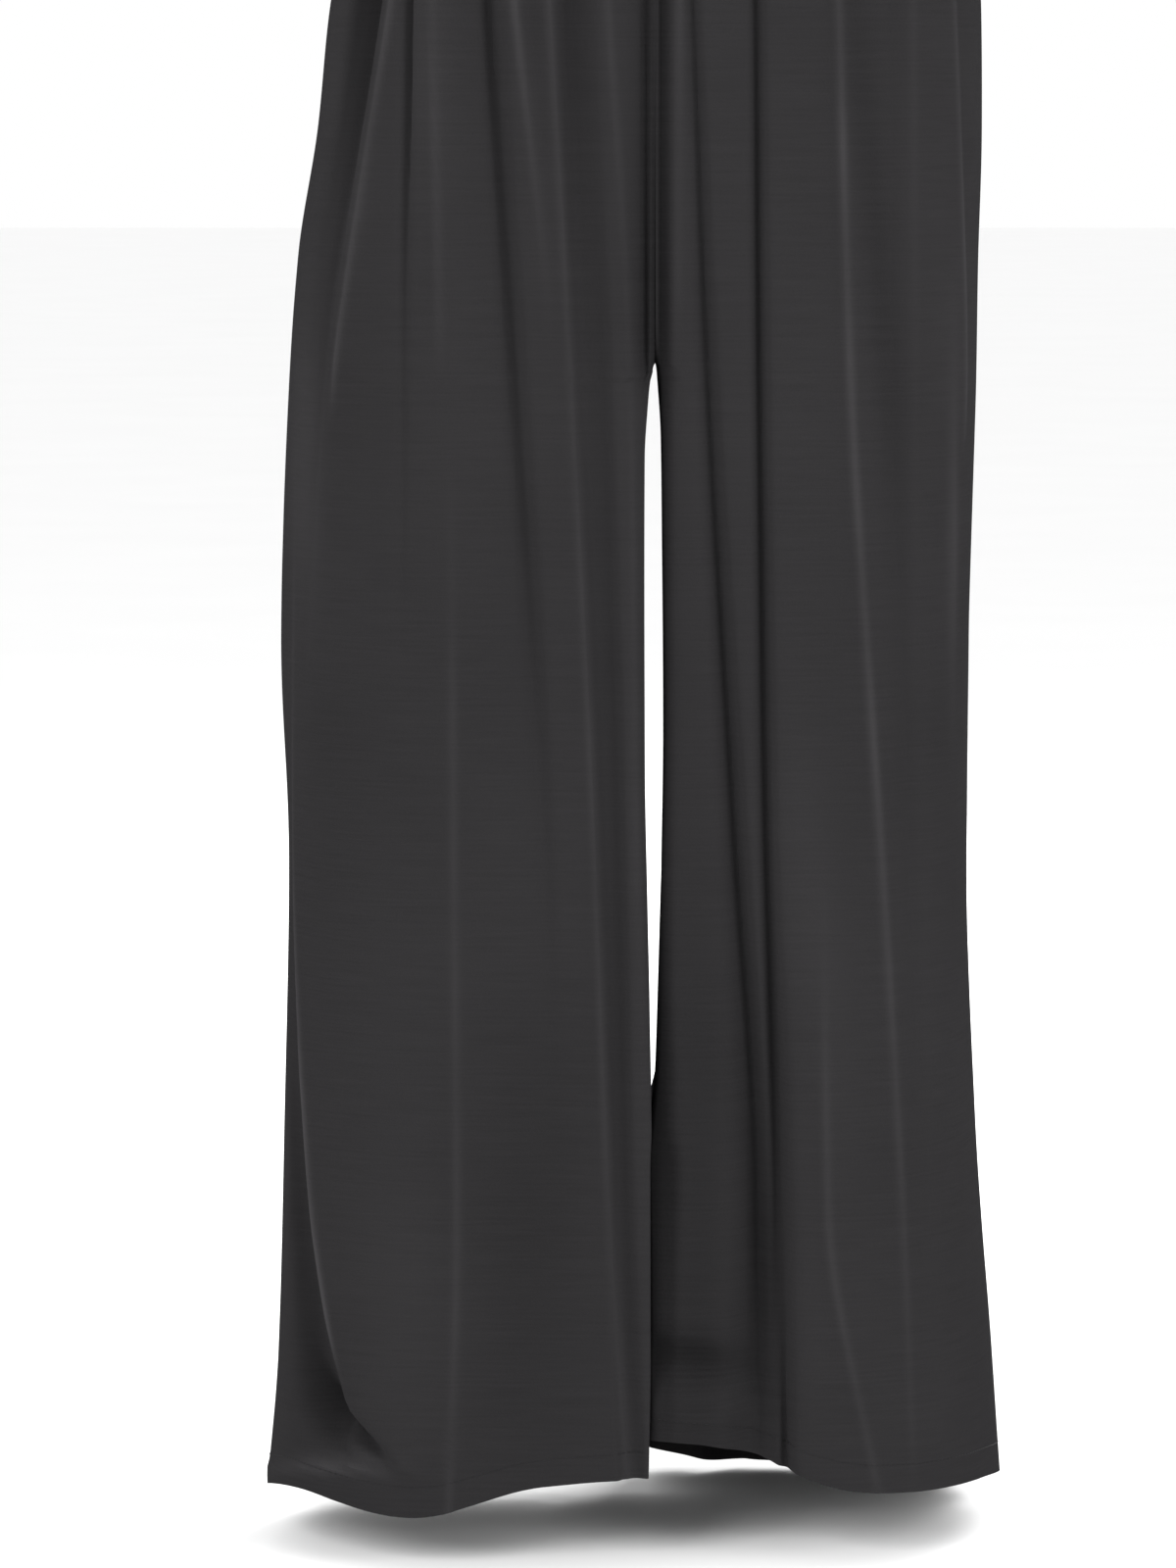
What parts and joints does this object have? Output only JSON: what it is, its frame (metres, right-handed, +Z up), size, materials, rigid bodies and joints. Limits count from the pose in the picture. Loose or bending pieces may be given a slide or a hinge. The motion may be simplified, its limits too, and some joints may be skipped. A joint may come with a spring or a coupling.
{
  "type": "wide-leg overalls",
  "caption": "Wide-leg bib overalls in dark crepe cloth, as worn: hollow trouser legs to the floor, waistband, front and back bibs and shoulder straps.",
  "frame": {"origin": "midway between the wearer's shoulders, level with the undersides of the straps", "axes": "+Z up, front of the garment towards -Y, the wearer's left towards +X"},
  "size_m": [0.442, 0.3219, 1.4213],
  "materials": {
    "crepe": "matt charcoal-black woven crepe, fine plain weave with a slight crosswise slub and a soft sheen on the folds"
  },
  "bodies": {
    "root": {"front_leg_right": "crepe", "front_leg_left": "crepe", "back_leg_right": "crepe", "back_leg_left": "crepe", "waistband_front": "crepe", "waistband_back": "crepe", "bib_front": "crepe", "bib_back": "crepe", "strap_right": "crepe", "strap_left": "crepe"}
  },
  "joints": []
}
